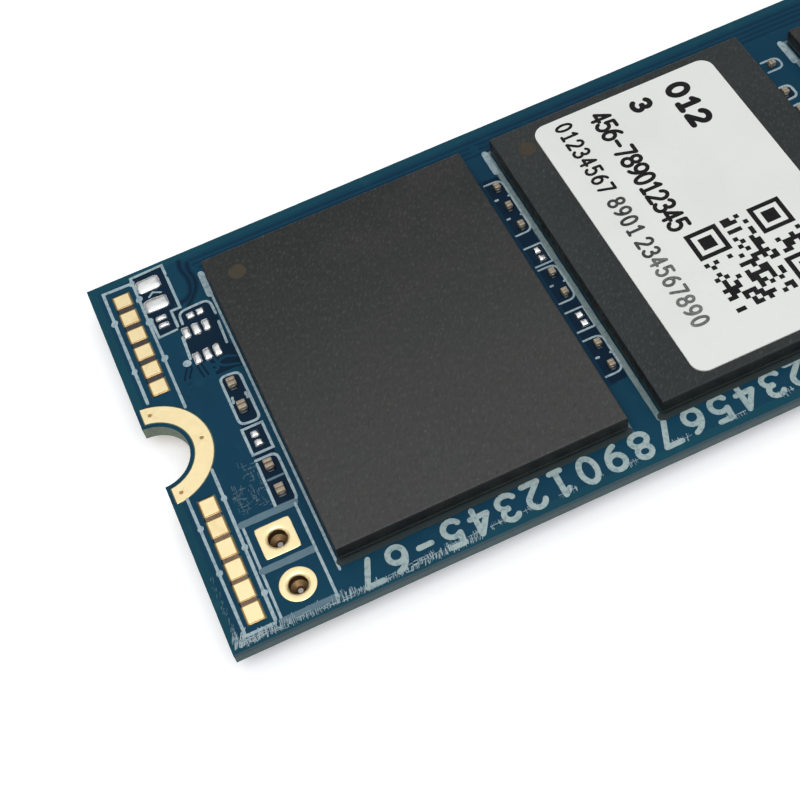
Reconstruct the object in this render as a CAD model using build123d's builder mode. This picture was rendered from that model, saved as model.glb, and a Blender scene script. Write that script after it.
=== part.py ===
from build123d import *
import os

# A bare solid state drive module, 22 x 80 mm. Millimetres.
# +X runs from the mounting notch to the edge connector, +Z out of the labelled side.
# The origin is the middle of the footprint, level with the outer faces of the lowest packages.

TOP = 1
UNDER = -1

# Board
board_length = 80.0
board_width = 22.0
core_thickness = 0.72
mask_thickness = 0.03
copper_thickness = 0.04
mask_gap = 0.05  # bare laminate left between a pad and the solder mask round it
mount_end = -board_length / 2
connector_end = board_length / 2

# Half-round mounting notch and the gold ring round it
notch_radius = 1.75
ring_inner = 1.98
ring_outer = 2.87
ring_setback = 0.22
ring_via_radius = 0.1
ring_via_angles = (-76, 0, 76)

# Edge connector
tongue_length = 4.0
tongue_width = 19.85
shoulder_radius = 0.5
tongue_chamfer = 0.4
bevel_length = 0.5
bevel_depth = 0.18
key_y = -6.125
key_width = 1.2
key_depth = 3.5
contact_pitch = 0.5
contact_width = 0.35
contact_length = 2.1
contact_setback = 0.55
contact_window = 3.0  # no solder mask this near the connector end
first_odd_y = 9.25
first_even_y = 9.0
keyed_pins = range(59, 67)

# Test pads and plated holes beside the notch
test_pad = (0.85, 0.84)
test_pad_x = 1.5
far_pads_y = 3.70
far_pad_pitch = 1.165
near_pads_y = -9.52
near_pad_pitch = 1.17
near_pad = (0.82, 0.95)
pads_in_row = 6
hole_radius = 0.5
barrel_wall = 0.04
hole_pad = 1.6
hole_x = 3.75
square_hole_y = -6.62
hole_spacing = 2.54
round_hole_y = square_hole_y - hole_spacing

# Packages
ball_height = 0.2
ball_radius = 0.22
substrate_thickness = 0.15
flash_length = 14.2
flash_width = 18.0
flash_mould = 0.8
flash_xs = (12.9, 28.8)
flash_dies = 8
flash_die = (10.6, 12.4, 0.06)
die_step = 0.22
die_film = 0.006
dram_length = 9.0
dram_width = 14.0
dram_mould = 0.65
dram_die = (6.4, 9.6, 0.3)
dram_x = 43.0
dram_y = 1.1
mould_edge = 0.06
lift = ball_height + substrate_thickness
flash_height = lift + flash_mould

# Controller
controller_size = 16.0
controller_x = 58.6
controller_substrate = 0.4
controller_die = (8.2, 7.4, 0.35)
lid_size = 15.4
lid_thickness = 0.25
lid_rim = 0.9
lid_corner = 0.8

# Small parts: (length, width, height) and the length of one end cap
tiny = (0.62, 0.32, 0.32)
tiny_cap = 0.15
middle = (0.86, 0.44, 0.34)
middle_cap = 0.2
small = (1.0, 0.5, 0.35)
small_cap = 0.22
bulk = (2.0, 1.25, 1.1)
bulk_cap = 0.35
cap_proud = 0.015
notch_column = 4.75
gap_column = 21.0
right_column = 36.6
dram_column = 49.1

# Power section
power_chip = (4.0, 4.0, 0.75)
power_chip_at = (70.9, 5.4)
lead = (0.4, 0.25, 0.2)
leads_in_row = 6
lead_pitch = 0.5
thermal_pad = 2.6
inductor = (2.5, 2.0, 1.1)
inductor_places = ((68.9, 1.2), (72.5, 1.2), (68.9, -1.6))
inductor_terminal = 0.12
terminal_height = 0.8
coil_outer = 0.8
coil_inner = 0.4
coil_height = 0.65
crystal_at = (72.6, -2.2)
crystal_base = (3.2, 2.5, 0.5)
crystal_lid = (2.8, 2.1, 0.15)

# Label
label_size = (10.1, 16.9)
label_at = (28.8, -0.06)
label_thickness = 0.08
label_corner = 0.7

# Solder left on the pads of parts that are not fitted
solder_height = 0.09

mask_low = flash_height
core_low = mask_low + mask_thickness
core_top = core_low + core_thickness
mask_top = core_top + mask_thickness


def along(distance):
    """X of a point this far from the mounting end."""
    return mount_end + distance


def spots(x, ys):
    """Places in one column, x measured from the mounting end."""
    return [(along(x), y) for y in ys]


def level(side, distance):
    """Height of a plane this far out from the solder mask on one side."""
    return mask_top + distance if side == TOP else mask_low - distance


def base(side, near, far):
    """The lower of the two planes that bound a layer, to be extruded upward."""
    return Plane.XY.offset(min(level(side, near), level(side, far)))


def save(piece, name):
    piece.part.label = name
    export_step(piece.part, f"parts/{name}.step")


def turned(places, angle):
    return [Location((x, y, 0), (0, 0, angle)) for x, y in places]


def row_of_pads(x, first_y, pitch):
    return [(along(x), first_y + i * pitch) for i in range(pads_in_row)]


far_pads = row_of_pads(test_pad_x, far_pads_y, far_pad_pitch)
near_pads = row_of_pads(test_pad_x, near_pads_y, near_pad_pitch)
square_hole = (along(hole_x), square_hole_y)
round_hole = (along(hole_x), round_hole_y)

# Bare solder pads as (size, places): a large pair, two small pairs, a six-pad footprint, tiny pairs
tiny_pair = 0.53
bare_pads = (
    ((1.2, 0.8), spots(2.98, (9.88, 8.52))),
    ((0.5, 0.26), spots(2.92, (7.5, 7.02))),
    ((0.34, 0.34), [(along(x), 6.94) for x in (4.28, 4.8)]),
    ((0.32, 0.66), [(along(x), y) for x in (3.74, 4.27, 4.8) for y in (6.04, 4.34)]),
    ((0.34, 0.34), spots(notch_column, (-1.07, -1.07 - tiny_pair))),
    ((0.34, 0.34), spots(gap_column, (2.18, 2.18 - tiny_pair, -2.27, -2.27 - tiny_pair))),
)

# Ceramic capacitors: those with their length along Y, then those along X
notch_ys = (2.12, 0.65, -2.95, -4.42)
gap_ys = (6.76, 5.37, 3.98, 0.6, -0.76, -4.14, -5.49)
right_ys = (5.12, 3.7, 2.3, 0.9, -0.5, -1.9, -3.3, -6.2, -7.6)
dram_ys = [7.6 - 1.4 * i for i in range(12)]
notch_caps = spots(notch_column, notch_ys)
upright_top = spots(gap_column, gap_ys) + spots(right_column, right_ys) + spots(dram_column, dram_ys)
flat_top = spots(37.05, (7.18,)) + spots(74.3, (8.8, 8.1, 2.2, 1.4))
upright_under = spots(gap_column, gap_ys) + spots(right_column, right_ys) + spots(dram_column, dram_ys)
flat_under = [(along(controller_x + 1.5 * i), 1.3 * j) for i in range(-3, 4) for j in range(-2, 3)]
resistors = spots(67.8, (8.9, 8.0, -8.0, -8.9)) + spots(38.0, (-8.0, -9.0)) + spots(48.6, (9.4, -9.6))
bulk_caps = spots(68.7, (-4.4, -6.1)) + spots(72.2, (-5.2, -6.9)) + spots(72.2, (-8.7,))


def board_outline():
    """The board's outline with its notch, tongue and key slot."""
    with BuildSketch() as outline:
        with Locations((-tongue_length / 2, 0)):
            Rectangle(board_length - tongue_length, board_width)
        with Locations((0, 0)):
            Rectangle(board_length, tongue_width)
        shoulders = outline.vertices().group_by(Axis.X)[-2]
        fillet(shoulders.filter_by(lambda v: abs(v.Y) < board_width / 2 - 0.1), shoulder_radius)
        chamfer(outline.vertices().group_by(Axis.X)[-1], tongue_chamfer)
        with Locations((mount_end, 0)):
            Circle(notch_radius, mode=Mode.SUBTRACT)
        with Locations((connector_end, key_y)):
            SlotOverall(2 * key_depth, key_width, mode=Mode.SUBTRACT)
    return outline.sketch


def make_core():
    with BuildPart() as core:
        with BuildSketch(Plane.XY.offset(core_low)):
            add(board_outline())
            with Locations(square_hole, round_hole):
                Circle(hole_radius + barrel_wall, mode=Mode.SUBTRACT)
        extrude(amount=core_thickness)
        for index in (0, 1):
            front = core.faces().filter_by(Axis.X).group_by(Axis.X)[-1].sort_by(Axis.Y)[index]
            chamfer(front.edges().filter_by(Axis.Y), bevel_depth, bevel_length, reference=front)
    save(core, "circuit_board")


def half_ring(inner, outer, setback):
    """A ring round the notch, cut short of the board's end."""
    with BuildSketch() as ring:
        with Locations((mount_end, 0)):
            Circle(outer)
            Circle(inner, mode=Mode.SUBTRACT)
        with Locations((mount_end - outer + setback, 0)):
            Rectangle(2 * outer, 2 * outer + 1, mode=Mode.SUBTRACT)
    return ring.sketch


def make_mask(name, z, window, with_pads):
    """One side's solder mask, with its openings over bare copper and solder."""
    with BuildPart() as mask:
        with BuildSketch(Plane.XY.offset(z)):
            add(board_outline())
            with Locations((connector_end, 0)):
                Rectangle(2 * window, board_width, mode=Mode.SUBTRACT)
            add(half_ring(ring_inner - mask_gap, ring_outer + mask_gap, ring_setback - mask_gap), mode=Mode.SUBTRACT)
            with Locations(square_hole):
                Rectangle(hole_pad + 2 * mask_gap, hole_pad + 2 * mask_gap, mode=Mode.SUBTRACT)
            with Locations(round_hole):
                Circle(hole_pad / 2 + mask_gap, mode=Mode.SUBTRACT)
            if with_pads:
                groups = ((test_pad, far_pads), (near_pad, near_pads)) + bare_pads
                for (length, width), places in groups:
                    with Locations(*places):
                        Rectangle(length + 2 * mask_gap, width + 2 * mask_gap, mode=Mode.SUBTRACT)
        extrude(amount=mask_thickness)
    save(mask, name)


def make_ring(name, z):
    with BuildPart() as ring:
        with BuildSketch(Plane.XY.offset(z)):
            add(half_ring(ring_inner, ring_outer, ring_setback))
            with Locations((mount_end, 0)):
                for angle in ring_via_angles:
                    with PolarLocations((ring_inner + ring_outer) / 2, 1, start_angle=angle):
                        Circle(ring_via_radius, mode=Mode.SUBTRACT)
        extrude(amount=copper_thickness)
    save(ring, name)


def make_contacts(name, pins, first_y, z):
    """Gold fingers of one side, without those in the key."""
    ys = [first_y - contact_pitch * (n // 2) for n in pins]
    x = connector_end - contact_setback - contact_length / 2
    with BuildPart() as contacts:
        with BuildSketch(Plane.XY.offset(z)):
            with Locations(*[(x, y) for y in ys]):
                Rectangle(contact_length, contact_width)
        extrude(amount=copper_thickness)
    save(contacts, name)


def make_test_pads(name, size, places):
    with BuildPart() as pads:
        with BuildSketch(Plane.XY.offset(core_top)):
            with Locations(*places):
                RectangleRounded(*size, 0.08)
        extrude(amount=copper_thickness)
    save(pads, name)


def make_plated_hole(name, place, square):
    """A copper barrel through the board with a pad at each end."""
    with BuildPart() as hole:
        for z in (core_low - copper_thickness, core_top):
            with BuildSketch(Plane.XY.offset(z)):
                with Locations(place):
                    if square:
                        Rectangle(hole_pad, hole_pad)
                    else:
                        Circle(hole_pad / 2)
                    Circle(hole_radius, mode=Mode.SUBTRACT)
            extrude(amount=copper_thickness)
        with BuildSketch(Plane.XY.offset(core_low)):
            with Locations(place):
                Circle(hole_radius + barrel_wall)
                Circle(hole_radius, mode=Mode.SUBTRACT)
        extrude(amount=core_thickness)
    save(hole, name)


def make_bare_solder():
    """Low solder domes on the pads of parts that are not fitted."""
    with BuildPart() as solder:
        for (length, width), places in bare_pads:
            with BuildSketch(Plane.XY.offset(core_top)):
                with Locations(*places):
                    RectangleRounded(length, width, min(length, width) * 0.3)
            extrude(amount=mask_thickness + solder_height, taper=15)
    save(solder, "bare_solder_pads")


def make_balls(name, places, side):
    """Solder balls, pressed flat where they meet the board and the package."""
    with BuildPart() as balls:
        with BuildSketch(base(side, 0, ball_height)):
            with Locations(*places):
                Circle(ball_radius)
        extrude(amount=ball_height)
    save(balls, name)


def make_plate(name, place, size, side, near):
    """One rectangular plate, its inner face this far out from the solder mask."""
    length, width, thickness = size
    with BuildPart() as plate:
        with BuildSketch(base(side, near, near + thickness)):
            with Locations(place):
                Rectangle(length, width)
        extrude(amount=thickness)
    save(plate, name)


def die_stack(place, side, die, count, film):
    """Thin dies stepped like a stair, with a film of adhesive's thickness left open on each."""
    length, width, pitch = die
    with BuildPart() as stack:
        for i in range(count):
            near = lift + i * pitch
            shift = die_step * (i - (count - 1) / 2)
            with BuildSketch(base(side, near, near + pitch - film)):
                with Locations((place[0] + shift, place[1])):
                    Rectangle(length, width)
            extrude(amount=pitch - film)
    return stack.part


def make_package(name, place, side, size, die, count, ball_places):
    """A moulded package: mould, substrate, dies in the mould and solder balls."""
    length, width, thickness = size
    cavity = die_stack(place, side, die, count, 0)
    with BuildPart() as mould:
        with BuildSketch(base(side, lift, lift + thickness)):
            with Locations(place):
                Rectangle(length, width)
        extrude(amount=thickness)
        rim = mould.faces().sort_by(Axis.Z)[-1 if side == TOP else 0].edges()
        chamfer(rim, mould_edge)
        add(cavity, mode=Mode.SUBTRACT)
    save(mould, f"{name}_mould")
    make_plate(f"{name}_substrate", place, (length, width, substrate_thickness), side, ball_height)
    with BuildPart() as dies:
        add(die_stack(place, side, die, count, die_film))
    save(dies, f"{name}_dies")
    make_balls(f"{name}_balls", ball_places, side)


def grid(place, pitch_x, pitch_y, columns, rows):
    """Points of a grid from lists of column and row numbers, counted from its middle."""
    return [(place[0] + c * pitch_x, place[1] + r * pitch_y) for c in columns for r in rows]


def make_flash():
    """Two flash packages on each side, each with two fields of balls."""
    rows = [r for r in range(-8, 9) if abs(r) > 2]
    for side, where in ((TOP, "top"), (UNDER, "under")):
        for x, letter in zip(flash_xs, "ab"):
            place = (along(x), 0)
            balls = grid(place, 1.0, 1.0, range(-5, 6), rows)
            size = (flash_length, flash_width, flash_mould)
            make_package(f"flash_{where}_{letter}", place, side, size, flash_die, flash_dies, balls)


def make_dram():
    """One memory package on each side."""
    place = (along(dram_x), dram_y)
    rows = [r + 0.5 for r in range(-8, 8)]
    columns = [c for c in range(-4, 5) if abs(c) > 1]
    balls = grid(place, 0.8, 0.8, columns, rows)
    size = (dram_length, dram_width, dram_mould)
    for side, where in ((TOP, "top"), (UNDER, "under")):
        make_package(f"dram_{where}", place, side, size, dram_die, 1, balls)


def make_controller():
    """Controller: substrate, die, solder balls and a metal lid over the die."""
    place = (along(controller_x), 0)
    substrate = (controller_size, controller_size, controller_substrate)
    make_plate("controller_substrate", place, substrate, TOP, ball_height)
    die_near = ball_height + controller_substrate
    make_plate("controller_die", place, controller_die, TOP, die_near)
    inner = controller_die[2]
    with BuildPart() as lid:
        with BuildSketch(base(TOP, die_near, die_near)):
            with Locations(place):
                RectangleRounded(lid_size, lid_size, lid_corner)
        extrude(amount=inner + lid_thickness)
        fillet(lid.faces().sort_by(Axis.Z)[-1].edges(), 0.08)
        with BuildSketch(base(TOP, die_near, die_near)):
            with Locations(place):
                Rectangle(lid_size - 2 * lid_rim, lid_size - 2 * lid_rim)
        extrude(amount=inner, mode=Mode.SUBTRACT)
    save(lid, "controller_lid")
    numbers = [n + 0.5 for n in range(-9, 9)]
    outer = [(x, y) for x, y in grid((0, 0), 0.8, 0.8, numbers, numbers) if max(abs(x), abs(y)) > 4.2]
    make_balls("controller_balls", [(place[0] + x, y) for x, y in outer], TOP)


def make_chips(name, places, side, size, cap):
    """Two-terminal parts: their bodies in one node and their end caps in another."""
    length, width, height = size
    with BuildPart() as bodies:
        with BuildSketch(base(side, cap_proud, height - cap_proud)):
            with Locations(*places):
                Rectangle(length - 2 * cap, width - 2 * cap_proud)
        extrude(amount=height - 2 * cap_proud)
    save(bodies, f"{name}_bodies")
    with BuildPart() as caps:
        with BuildSketch(base(side, 0, height)):
            with Locations(*places):
                with GridLocations(length - cap, 0, 2, 1):
                    Rectangle(cap, width)
        extrude(amount=height)
    save(caps, f"{name}_end_caps")


def make_power_chip():
    """A leadless power chip: leads and a thermal pad let into the underside of its mould."""
    length, width, height = power_chip
    place = (along(power_chip_at[0]), power_chip_at[1])
    with BuildPart() as leads:
        with BuildSketch(base(TOP, 0, 0)):
            with Locations(place):
                Rectangle(thermal_pad, thermal_pad)
                for angle in (0, 90):
                    with Locations(Location((0, 0, 0), (0, 0, angle))):
                        with GridLocations(length - lead[0], lead_pitch, 2, leads_in_row):
                            Rectangle(lead[0], lead[1])
        extrude(amount=lead[2])
    save(leads, "power_chip_leads")
    with BuildPart() as body:
        with BuildSketch(base(TOP, 0.03, height)):
            with Locations(place):
                Rectangle(length, width)
        extrude(amount=height - 0.03)
        add(leads.part, mode=Mode.SUBTRACT)
    save(body, "power_chip_body")


def make_inductors():
    """Power inductors: pressed core, coil in the core's underside, two end terminals."""
    length, width, height = inductor
    places = [(along(x), y) for x, y in inductor_places]
    with BuildPart() as coils:
        with BuildSketch(base(TOP, 0.05, 0.05)):
            with Locations(*places):
                Circle(coil_outer)
                Circle(coil_inner, mode=Mode.SUBTRACT)
        extrude(amount=coil_height)
    save(coils, "inductor_coils")
    with BuildPart() as cores:
        with BuildSketch(base(TOP, 0.05, height)):
            with Locations(*places):
                RectangleRounded(length - 2 * inductor_terminal, width, 0.2)
        extrude(amount=height - 0.05)
        add(coils.part, mode=Mode.SUBTRACT)
    save(cores, "inductor_cores")
    with BuildPart() as terminals:
        with BuildSketch(base(TOP, 0, 0)):
            with Locations(*places):
                with GridLocations(length - inductor_terminal, 0, 2, 1):
                    Rectangle(inductor_terminal, width * 0.7)
        extrude(amount=terminal_height)
    save(terminals, "inductor_terminals")


def make_crystal():
    place = (along(crystal_at[0]), crystal_at[1])
    make_plate("crystal_base", place, crystal_base, TOP, 0)
    with BuildPart() as lid:
        with BuildSketch(base(TOP, crystal_base[2], crystal_base[2])):
            with Locations(place):
                RectangleRounded(crystal_lid[0], crystal_lid[1], 0.3)
        extrude(amount=crystal_lid[2])
    save(lid, "crystal_lid")


def make_label():
    with BuildPart() as label:
        with BuildSketch(base(TOP, flash_height, flash_height)):
            with Locations((along(label_at[0]), label_at[1])):
                RectangleRounded(*label_size, label_corner)
        extrude(amount=label_thickness)
    save(label, "label")


def main():
    os.makedirs("parts", exist_ok=True)
    make_core()
    make_mask("solder_mask_top", core_top, contact_window, True)
    make_mask("solder_mask_under", mask_low, contact_window, False)
    make_ring("mount_ring_top", core_top)
    make_ring("mount_ring_under", core_low - copper_thickness)
    odd = [n for n in range(1, 76, 2) if n not in keyed_pins]
    even = [n for n in range(2, 75, 2) if n not in keyed_pins]
    make_contacts("edge_contacts_top", odd, first_odd_y, core_top)
    make_contacts("edge_contacts_under", [n - 2 for n in even], first_even_y, core_low - copper_thickness)
    make_test_pads("test_pads_far", test_pad, far_pads)
    make_test_pads("test_pads_near", near_pad, near_pads)
    make_plated_hole("plated_hole_square", square_hole, True)
    make_plated_hole("plated_hole_round", round_hole, False)
    make_bare_solder()
    make_flash()
    make_dram()
    make_controller()
    upright = turned(upright_top, 90) + turned(flat_top, 0)
    make_chips("ceramic_caps_top", upright, TOP, tiny, tiny_cap)
    make_chips("ceramic_caps_notch", turned(notch_caps, 90), TOP, middle, middle_cap)
    below = turned(upright_under, 90) + turned(flat_under, 0)
    make_chips("ceramic_caps_under", below, UNDER, tiny, tiny_cap)
    make_chips("resistors", turned(resistors, 0), TOP, small, small_cap)
    make_chips("bulk_caps", turned(bulk_caps, 0), TOP, bulk, bulk_cap)
    make_power_chip()
    make_inductors()
    make_crystal()
    make_label()


main()
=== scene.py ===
"""Looks for a bare M.2 2280 solid state drive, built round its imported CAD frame.

Drawings are in millimetres: x runs from the mount end along the board, y across it, z up in the row frame.
"""

import math

import bmesh
import bpy
import numpy as np
from mathutils import Matrix, Vector


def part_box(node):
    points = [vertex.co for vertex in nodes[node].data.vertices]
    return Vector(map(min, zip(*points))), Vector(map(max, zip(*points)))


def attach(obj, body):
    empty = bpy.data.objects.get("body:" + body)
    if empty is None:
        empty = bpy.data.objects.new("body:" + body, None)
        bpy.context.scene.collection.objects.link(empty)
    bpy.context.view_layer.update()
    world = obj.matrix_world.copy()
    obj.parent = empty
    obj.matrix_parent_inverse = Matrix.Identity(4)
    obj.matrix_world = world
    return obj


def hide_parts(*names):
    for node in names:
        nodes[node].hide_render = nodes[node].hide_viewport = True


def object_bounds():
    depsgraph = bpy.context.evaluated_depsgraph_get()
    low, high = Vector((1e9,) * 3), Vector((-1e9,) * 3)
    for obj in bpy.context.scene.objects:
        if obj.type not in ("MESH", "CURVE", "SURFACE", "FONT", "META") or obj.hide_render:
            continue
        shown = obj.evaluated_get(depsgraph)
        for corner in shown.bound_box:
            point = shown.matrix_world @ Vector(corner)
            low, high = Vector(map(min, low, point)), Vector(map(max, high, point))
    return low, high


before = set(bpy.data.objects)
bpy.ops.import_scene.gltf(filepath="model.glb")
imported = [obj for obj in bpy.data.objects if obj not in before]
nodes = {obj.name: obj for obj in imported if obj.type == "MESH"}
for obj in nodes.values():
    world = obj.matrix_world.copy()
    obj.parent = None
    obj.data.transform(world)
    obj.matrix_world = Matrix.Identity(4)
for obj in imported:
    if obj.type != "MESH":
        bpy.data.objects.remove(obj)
cad_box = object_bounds()
random = np.random.default_rng(2280)
uniform = random.uniform

MM = 0.001
START = cad_box[0].x / MM
LENGTH = (cad_box[1].x - cad_box[0].x) / MM
HALF_WIDTH = cad_box[1].y / MM
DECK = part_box("solder_mask_top")[1].z / MM
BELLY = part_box("solder_mask_under")[0].z / MM
LABEL_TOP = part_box("label")[1].z / MM

# heights of the printed and plated layers above the solder mask, and how far they reach into it
TRACE = 0.003
SILK_LOW = 0.001
SILK_HIGH = 0.014
SCRATCH_HIGH = 0.0047
PRINT_HIGH = 0.008
SUNK = 0.001

# steps of height between printed lines, so that no two faces coincide
LIFT_STEP = 0.0002
LIFTS = 89


# ---------------------------------------------------------------- meshes


class Shape:
    """Vertices in row-frame millimetres, and faces, gathered for one piece."""

    def __init__(self):
        self.vertices = []
        self.faces = []
        self.tags = []
        self.bands = 0

    def lift(self):
        """A hair's breadth more height for each printed line."""
        self.bands = (self.bands + 1) % LIFTS
        return LIFT_STEP * self.bands

    def add(self, vertices, faces, tag=0):
        first = len(self.vertices)
        self.vertices += [tuple(float(c) for c in v) for v in vertices]
        self.faces += [tuple(first + i for i in face) for face in faces]
        self.tags += [tag] * len(faces)

    def make(self, name, finishes, smooth=False, replaces=()):
        mesh = bpy.data.meshes.new(name)
        mesh.from_pydata([(x * MM, y * MM, z * MM) for x, y, z in self.vertices], [], self.faces)
        for finish in finishes:
            mesh.materials.append(finish)
        mesh.polygons.foreach_set("material_index", self.tags)
        mesh.polygons.foreach_set("use_smooth", [smooth] * len(self.faces))
        bm = bmesh.new()
        bm.from_mesh(mesh)
        bmesh.ops.recalc_face_normals(bm, faces=bm.faces)
        bm.to_mesh(mesh)
        bm.free()
        piece = bpy.data.objects.new(name, mesh)
        bpy.context.scene.collection.objects.link(piece)
        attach(piece, "root")
        if replaces:
            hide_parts(*replaces)
        return piece


def on_board(points):
    """Drawing points as an array in the row frame."""
    return np.array(points, float) + (START, 0)


def ring_faces(a, b, n):
    """Faces between two rings of n vertices that start at the vertices a and b."""
    return [(a + i, a + (i + 1) % n, b + (i + 1) % n, b + i) for i in range(n)]


def arc(x, y, rx, ry, start, end, steps=10):
    angles = np.radians(np.linspace(start, end, steps + 1))
    return [(x + rx * math.cos(a), y + ry * math.sin(a)) for a in angles]


def rounded(points, radius, closed=False):
    """The same polyline with its corners turned into arcs."""
    points = [np.array(p, float) for p in points]
    out = []
    for i, corner in enumerate(points):
        if not closed and i in (0, len(points) - 1):
            out.append(tuple(corner))
            continue
        before = points[i - 1] - corner
        after = points[(i + 1) % len(points)] - corner
        reach = min(radius, np.linalg.norm(before) / 2, np.linalg.norm(after) / 2)
        start = corner + before / np.linalg.norm(before) * reach
        end = corner + after / np.linalg.norm(after) * reach
        for t in np.linspace(0, 1, 6):
            out.append(tuple((1 - t) ** 2 * start + 2 * t * (1 - t) * corner + t * t * end))
    return out


def resampled(points, step):
    out = [points[0]]
    for a, b in zip(points[:-1], points[1:]):
        parts = max(1, math.ceil(np.linalg.norm(b - a) / step))
        out += [a + (b - a) * k / parts for k in range(1, parts + 1)]
    return np.array(out)


def band(shape, points, width, low, high, closed=False, tag=0, wander=0.06, step=0.4):
    """A flat printed line, in drawing coordinates, with rounded ends and slightly uneven sides."""
    points = on_board(points)
    if closed:
        points = np.vstack([points, points[:1]])
    points = resampled(points, step)
    if closed:
        points = points[:-1]
    keep = np.linalg.norm(points - np.roll(points, 1, 0), axis=1) > 1e-6
    keep[0] = True
    points = points[keep]
    n = len(points)
    ahead = np.roll(points, -1, 0) - points
    behind = points - np.roll(points, 1, 0)
    if not closed:
        ahead[-1] = behind[-1]
        behind[0] = ahead[0]
    ahead /= np.linalg.norm(ahead, axis=1)[:, None]
    behind /= np.linalg.norm(behind, axis=1)[:, None]
    along = ahead + behind
    along /= np.maximum(np.linalg.norm(along, axis=1), 1e-6)[:, None]
    across = np.stack([-along[:, 1], along[:, 0]], 1)
    stretch = 1 / np.clip((along * ahead).sum(1), 0.6, 1)
    half = width / 2 * (1 + wander * uniform(-1, 1, n)) * stretch
    left = points + across * half[:, None]
    right = points - across * half[:, None]
    if closed:
        loops = [left, right]
        top = [(i, (i + 1) % n, n + (i + 1) % n, n + i) for i in range(n)]
    else:
        caps = 3
        turn = np.linspace(0, math.pi, caps + 2)[1:-1]
        start_cap = [points[0] + half[0] * (across[0] * math.cos(a) - along[0] * math.sin(a)) for a in turn]
        end_cap = [points[-1] - half[-1] * (across[-1] * math.cos(a) - along[-1] * math.sin(a)) for a in turn]
        loops = [np.vstack([left, end_cap[::-1], right[::-1], start_cap[::-1]])]
        other = [n + caps + (n - 1 - i) for i in range(n)]
        top = [(i, i + 1, other[i + 1], other[i]) for i in range(n - 1)]
        top.append(tuple(range(n - 1, n + caps + 1)))
        top.append(tuple(list(range(other[0], other[0] + caps + 1)) + [0]))
    flat = np.vstack(loops)
    count = len(flat)
    if low >= DECK - 0.01:
        high += shape.lift()
    else:
        low -= shape.lift()
    vertices = [(x, y, high) for x, y in flat] + [(x, y, low) for x, y in flat]
    faces = top + [tuple(count + i for i in face[::-1]) for face in top]
    first = 0
    for loop in loops:
        size = len(loop)
        for i in range(size):
            a, b = first + i, first + (i + 1) % size
            faces.append((a, b, count + b, count + a))
        first += size
    shape.add(vertices, faces, tag)


def loft(shape, rings, tag=0):
    """A closed form through rings of the same count of points."""
    n = len(rings[0])
    faces = [tuple(range(n - 1, -1, -1)), tuple((len(rings) - 1) * n + i for i in range(n))]
    for level in range(len(rings) - 1):
        faces += ring_faces(level * n, (level + 1) * n, n)
    shape.add([point for ring in rings for point in ring], faces, tag)


def stacked(shape, outlines, heights, tag=0):
    """A loft through flat outlines, each at its height, from the lowest up."""
    loft(shape, [[(x, y, z) for x, y in outline] for outline, z in zip(outlines, heights)], tag)


def plate(shape, outline, low, high, tag=0):
    """A flat closed plate with one simple outline."""
    stacked(shape, (outline, outline), (low, high), tag)


def corners(x0, y0, x1, y1):
    return [(x0, y0), (x1, y0), (x1, y1), (x0, y1)]


def superellipse(power, steps):
    """Points round a square with soft corners, from -1 to 1."""
    out = []
    for a in np.linspace(0, 2 * math.pi, steps, endpoint=False):
        c, s = math.cos(a), math.sin(a)
        r = (abs(c) ** power + abs(s) ** power) ** (-1 / power)
        out.append((r * c, r * s))
    return out


def islands(node):
    """Lowest and highest corner, in millimetres, of each separate solid of a CAD node."""
    bm = bmesh.new()
    bm.from_mesh(nodes[node].data)
    bmesh.ops.remove_doubles(bm, verts=bm.verts, dist=1e-7)
    found = []
    seen = set()
    bm.verts.ensure_lookup_table()
    for vert in bm.verts:
        if vert.index in seen:
            continue
        seen.add(vert.index)
        stack = [vert]
        members = []
        while stack:
            v = stack.pop()
            members.append(np.array(v.co) / MM)
            for edge in v.link_edges:
                w = edge.other_vert(v)
                if w.index not in seen:
                    seen.add(w.index)
                    stack.append(w)
        found.append((np.min(members, 0), np.max(members, 0)))
    bm.free()
    return found


def soft_box(shape, low, high, radius, segments=2):
    """A box with rounded edges."""
    centre = (low + high) / 2
    bm = bmesh.new()
    bmesh.ops.create_cube(bm, size=1.0)
    bmesh.ops.transform(bm, matrix=Matrix.Diagonal((*(high - low), 1)), verts=bm.verts)
    bmesh.ops.bevel(bm, geom=bm.edges[:], offset=radius, segments=segments, profile=0.5, affect="EDGES")
    bm.verts.index_update()
    vertices = [np.array(v.co) + centre for v in bm.verts]
    faces = [tuple(v.index for v in f.verts) for f in bm.faces]
    bm.free()
    shape.add(vertices, faces)


# ---------------------------------------------------------------- finishes


def set_values(node, values):
    """Constant numbers for a shader node's inputs, by the inputs' names."""
    for socket, value in values.items():
        node.inputs[socket].default_value = value


def range_values(low, high, start, end):
    """A Map Range node's numbers."""
    return {"From Min": low, "From Max": high, "To Min": start, "To Max": end}


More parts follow.
